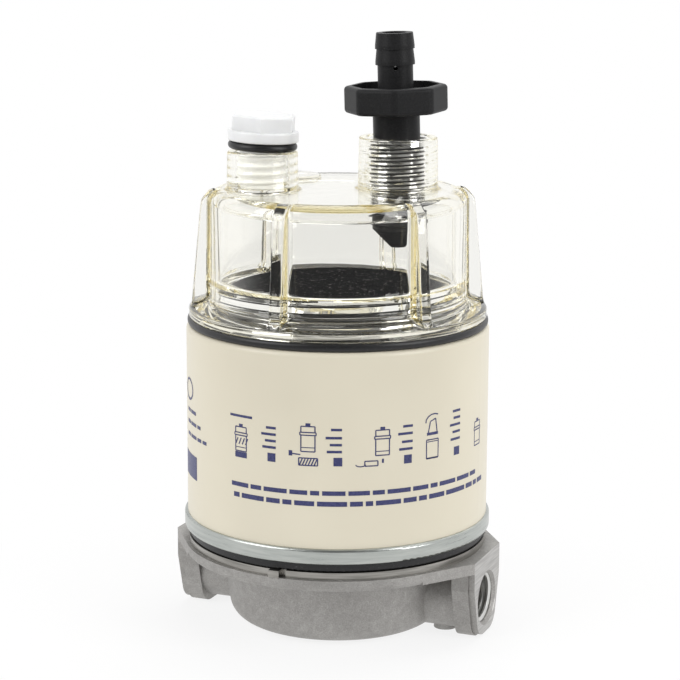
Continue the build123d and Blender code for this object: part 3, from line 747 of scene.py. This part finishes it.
def threads():
    for name, side in (("port_thread_right", 1), ("port_thread_left", -1)):
        place = Matrix.Translation((0, 0, PORT_HEIGHT)) @ Matrix.Rotation(side * pi / 2, 4, "Y")
        sleeve(name, PORT_SCREW, PORT_SLEEVE, MACHINED, "head", "cast_aluminium", place, PORT_SEGMENTS)
    sleeve(
        "neck_thread", NECK_SCREW, OUTER_SLEEVE, NECK_COAT, "element", "black_steel", segments=WIDE_SEGMENTS,
    )
    sleeve(
        "drain_thread", DRAIN_SCREW, OUTER_SLEEVE, FINISHES["black_plastic"], "valve", "black_plastic",
        leaning(DRAIN_OFFSET, BOWL_TURN, BOWL_TOP, -DRAIN_TILT),
    )
    sleeve(
        "plug_thread", PLUG_SCREW, OUTER_SLEEVE, FINISHES["white_plastic"], "plug", "white_plastic",
        leaning(SENSOR_OFFSET, BOWL_TURN + 180, PLUG_LEVEL, PLUG_TILT),
    )


# Print on the can

FILM_THICKNESS = 0.02


class Ink:
    """Plain shapes printed on the can.

    Along is the arc from the line that faces the camera, and up the height above the can's foot.
    """

    LIFT = 0.03              # off the can
    STEP = 1.2               # longest stretch of a stroke that stays straight

    def __init__(self):
        self.skin = Skin()

    def point(self, along, up):
        radius = CAN_RADIUS + self.LIFT
        return at(radius, CAMERA_ANGLE + degrees(along / CAN_RADIUS), CAN_FOOT + up)

    def strip(self, start, end, width):
        """A straight stroke from start to end, both (along, up)."""
        start, end = Vector(start), Vector(end)
        way = end - start
        aside = Vector((-way.y, way.x)).normalized() * width / 2
        stations = [start + way * share for share in spread(0, 1, self.STEP / max(way.length, self.STEP))]
        self.skin.rows([[self.point(*(s - aside)), self.point(*(s + aside))] for s in stations], closed=False)

    def bar(self, left, right, foot, top):
        middle = (foot + top) / 2
        self.strip((left, middle), (right, middle), top - foot)

    def path(self, points, width):
        for start, end in zip(points, points[1:]):
            self.strip(start, end, width)

    def box(self, left, right, foot, top, width=0.28):
        self.path([(left, foot), (right, foot), (right, top), (left, top), (left, foot)], width)

    def ring(self, centre, radii, width, start=0, end=360):
        angles = spread(start, end, 24)
        self.path([(centre[0] + radii[0] * cos(radians(a)), centre[1] + radii[1] * sin(radians(a)))
                   for a in angles], width)

    def words(self, left, right, foot, top, lengths, gap=0.7):
        """A line of print shown as plain bars."""
        along, number = left, 0
        while along < right - 1:
            end = min(right, along + lengths[number % len(lengths)])
            self.bar(along, end, foot, top)
            along, number = end + gap, number + 1


def canister(ink, middle, foot, size=1.0):
    """A plain outline of a filter: can, band, bowl and knob."""
    half = 1.75 * size
    ink.box(middle - half, middle + half, foot, foot + 4.1 * size)
    ink.bar(middle - half, middle + half, foot + 0.9 * size, foot + 1.1 * size)
    ink.box(middle - half * 1.15, middle + half * 1.15, foot + 4.1 * size, foot + 4.8 * size)
    ink.box(middle - half, middle + half, foot + 4.8 * size, foot + 6.3 * size)
    ink.bar(middle - 0.6 * size, middle + 0.6 * size, foot + 6.3 * size, foot + 7.1 * size)


def printed_steps(ink):
    """A row of four plain pictograms, each with bars and a filled square."""
    canister(ink, -25.0, 23.3, 0.95)
    ink.bar(-26.8, -23.2, 21.7, 23.1)
    for shift in range(4):
        ink.strip((-26.6 + shift, 25.0), (-25.9 + shift, 26.6), 0.3)
    ink.bar(-28.4, -21.6, 31.7, 32.3)
    canister(ink, -7.05, 25.1, 0.98)
    ink.box(-9.3, -4.7, 21.7, 23.5)
    for shift in range(6):
        ink.strip((-9.1 + 0.72 * shift, 21.8), (-8.4 + 0.72 * shift, 23.4), 0.3)
    ink.strip((-11.6, 24.5), (-8.9, 24.3), 0.3)
    ink.bar(-11.8, -10.9, 23.9, 25.2)
    canister(ink, 10.95, 24.1, 0.98)
    ink.box(6.6, 9.8, 21.6, 22.8)
    ink.ring((5.6, 22.0), (1.2, 0.5), 0.25, 180, 360)
    ink.bar(10.8, 11.3, 22.2, 23.2)
    ink.box(22.8, 26.4, 21.9, 26.5)
    ink.bar(22.8, 26.4, 21.7, 22.1)
    ink.bar(22.8, 26.4, 25.9, 26.1)
    ink.bar(22.9, 26.3, 27.6, 28.3)
    ink.path([(23.3, 28.3), (23.9, 31.0), (25.5, 31.6), (26.0, 28.3)], 0.3)
    ink.ring((25.0, 30.9), (2.5, 1.9), 0.3, 60, 185)
    canister(ink, 43.2, 21.6, 0.95)
    for right, feet in (
        (-15.1, (25.1, 26.7, 28.3, 29.9)),
        (1.1, (24.9, 26.6, 28.3, 30.3)),
        (18.8, (24.8, 26.6, 28.6, 30.4)),
        (34.3, (25.0, 26.8, 28.6, 30.3, 32.0)),
    ):
        for number, foot in enumerate(feet):
            ink.bar(right - (3.6, 2.9, 3.9, 2.6, 2.9)[number], right, foot, foot + 0.62)
    for left, foot in ((-17.3, 21.9), (-0.9, 21.7), (16.5, 21.5), (32.0, 21.2)):
        ink.bar(left, left + 2.1, foot, foot + 2.1)


def printed_lines(ink):
    """Two long lines and a block at the left edge, as bars in place of words."""
    ink.words(-28.0, 44.0, 14.4, 15.5, (5.2, 3.0, 6.1, 4.4, 2.2, 5.6))
    ink.words(-27.3, 47.0, 11.7, 12.9, (1.8, 6.4, 3.6, 2.3, 4.9, 7.2, 3.1))
    for foot in (22.0, 25.2, 28.2):
        ink.words(-52.0, -38.2 - (foot - 22.0), foot, foot + 0.9, (3.0, 4.2, 2.4))
    ink.bar(-55.0, -44.0, 11.6, 17.6)
    ink.ring((-50.0, 34.0), (3.3, 2.6), 0.6)


def can_print():
    ink = Ink()
    printed_steps(ink)
    printed_lines(ink)
    printed = ink.skin.piece("can_print", INK, "element", "cream_paint", smooth=False)
    film = printed.modifiers.new("film", "SOLIDIFY")
    film.thickness = FILM_THICKNESS * MM
    film.offset = 0.0


# Studio

FLOOR_REACH = 330.0
SHADOW_START, SHADOW_END = 45.0, 110.0
LEAST_GLOW = 0.82            # of the white that the floor shows under the filter
LIGHT_BOUNCES = 96           # inner reflections in the clear bowl count as bounces too
CLEAR_BOUNCES = 48
AIM_HEIGHT = 75.0
# Strength of the surroundings, against how far a direction points away from the camera, from -1 to 1
ROOM_LEVEL, ROOM_SLOPE, ROOM_LEAST = 0.42, 0.15, 0.3
BACKDROP = {"From Min": -0.5, "From Max": 0.3, "To Min": 0.16, "To Max": 1.0}
SOFTBOXES = (
    # name, angle, distance, height, width, tall, watts
    ("left_softbox", CAMERA_ANGLE - 60, 650, 420, 500, 600, 3.2),
    ("right_softbox", CAMERA_ANGLE + 58, 700, 380, 400, 600, 3.3),
    ("top_softbox", CAMERA_ANGLE + 160, 350, 800, 700, 700, 3.0),
)


def white_floor():
    """Pale floor that glows white away from the filter and takes its shadow close to it."""
    finish = Finish("floor", (0.9, 0.9, 0.9), 0.9)
    away = finish.add("ShaderNodeVectorMath", {"operation": "LENGTH"}, {0: finish.place()}, "Value")
    fade = finish.add("ShaderNodeMapRange", {"interpolation_type": "SMOOTHSTEP"}, {
        "Value": away, "From Min": SHADOW_START * MM, "From Max": SHADOW_END * MM,
    })
    glow = finish.add("ShaderNodeEmission", None, {"Color": (1.0, 1.0, 1.0, 1.0), "Strength": 1.0})
    mixed = finish.add("ShaderNodeMixShader", None, {
        0: fade * (1 - LEAST_GLOW) + LEAST_GLOW, 1: Wire(finish.surface.outputs[0]), 2: glow,
    })
    finish.tree.links.new(mixed.socket, finish.output.inputs["Surface"])
    mesh = bpy.data.meshes.new("floor")
    reach = FLOOR_REACH * MM
    mesh.from_pydata([(-reach, -reach, 0), (reach, -reach, 0), (reach, reach, 0), (-reach, reach, 0)],
                     [], [(0, 1, 2, 3)])
    mesh.materials.append(finish.material)
    floor = bpy.data.objects.new("floor", mesh)
    bpy.context.scene.collection.objects.link(floor)


def surroundings():
    """White where the camera sees them, straight or through the bowl.

    Reflections, also those inside the bowl, see them darken behind the camera. As light on the pieces they
    are dimmer.
    """
    world = bpy.data.worlds.new("studio")
    bpy.context.scene.world = world
    world.use_nodes = True
    tree = world.node_tree
    rays = add_node(tree, "ShaderNodeLightPath").socket.node.outputs
    reflected = Wire(rays["Is Glossy Ray"])
    refracted = Wire(rays["Is Transmission Ray"])
    seen = Wire(rays["Is Camera Ray"]).maximum(refracted * (Wire(rays["Glossy Depth"]) < 0.5))
    mirrored = reflected.maximum(refracted)
    direction = add_node(tree, "ShaderNodeTexCoord")
    towards = at(1, CAMERA_ANGLE + 180)
    ahead = add_node(
        tree, "ShaderNodeVectorMath", {"operation": "DOT_PRODUCT"}, {0: direction, 1: towards}, "Value",
    )
    room = (ahead * ROOM_SLOPE + ROOM_LEVEL).maximum(ROOM_LEAST)
    backdrop = add_node(
        tree, "ShaderNodeMapRange", {"interpolation_type": "SMOOTHSTEP"}, {"Value": ahead, **BACKDROP},
    )
    strength = seen + (1 - seen) * (mirrored * backdrop + (1 - mirrored) * room)
    background = tree.nodes["Background"]
    background.inputs["Color"].default_value = (1, 1, 1, 1)
    tree.links.new(strength.socket, background.inputs["Strength"])


def soft_lamps():
    for name, angle, distance, height, width, tall, watts in SOFTBOXES:
        data = bpy.data.lights.new(name, "AREA")
        data.shape = "RECTANGLE"
        data.size, data.size_y = width * MM, tall * MM
        data.energy = watts
        lamp = bpy.data.objects.new(name, data)
        lamp.location = at(distance, angle, height) * MM
        aim = Vector((0, 0, AIM_HEIGHT * MM)) - lamp.location
        lamp.rotation_euler = aim.to_track_quat("-Z", "Y").to_euler()
        bpy.context.scene.collection.objects.link(lamp)


def camera():
    data = bpy.data.cameras.new("camera")
    data.sensor_width = SENSOR
    data.lens = FOCAL_PIXELS / PICTURE_SIDE * SENSOR
    data.clip_start, data.clip_end = 0.01, 20.0
    ahead, right, up = at(1, CAMERA_ANGLE + 180), at(1, CAMERA_ANGLE + 90), Vector((0, 0, 1))
    level = ahead * cos(CAMERA_YAW) + right * sin(CAMERA_YAW)
    side = right * cos(CAMERA_YAW) - ahead * sin(CAMERA_YAW)
    look = level * cos(CAMERA_PITCH) - up * sin(CAMERA_PITCH)
    over = level * sin(CAMERA_PITCH) + up * cos(CAMERA_PITCH)
    turned_side = side * cos(CAMERA_ROLL) + over * sin(CAMERA_ROLL)
    turned_over = over * cos(CAMERA_ROLL) - side * sin(CAMERA_ROLL)
    place = Matrix((turned_side, turned_over, -look)).transposed().to_4x4()
    place.translation = at(CAMERA_DISTANCE, CAMERA_ANGLE, CAMERA_HEIGHT) * MM
    made = bpy.data.objects.new("camera", data)
    made.matrix_world = place
    bpy.context.scene.collection.objects.link(made)
    bpy.context.scene.camera = made


MACHINED = machined_aluminium()
INK = navy_ink()

dress_parts()
clear_bowl()
threads()
can_print()
white_floor()
surroundings()
soft_lamps()
camera()

scene = bpy.context.scene
scene.view_settings.view_transform = "Standard"
scene.cycles.max_bounces = LIGHT_BOUNCES
scene.cycles.glossy_bounces = LIGHT_BOUNCES
scene.cycles.transmission_bounces = LIGHT_BOUNCES
scene.cycles.transparent_max_bounces = CLEAR_BOUNCES
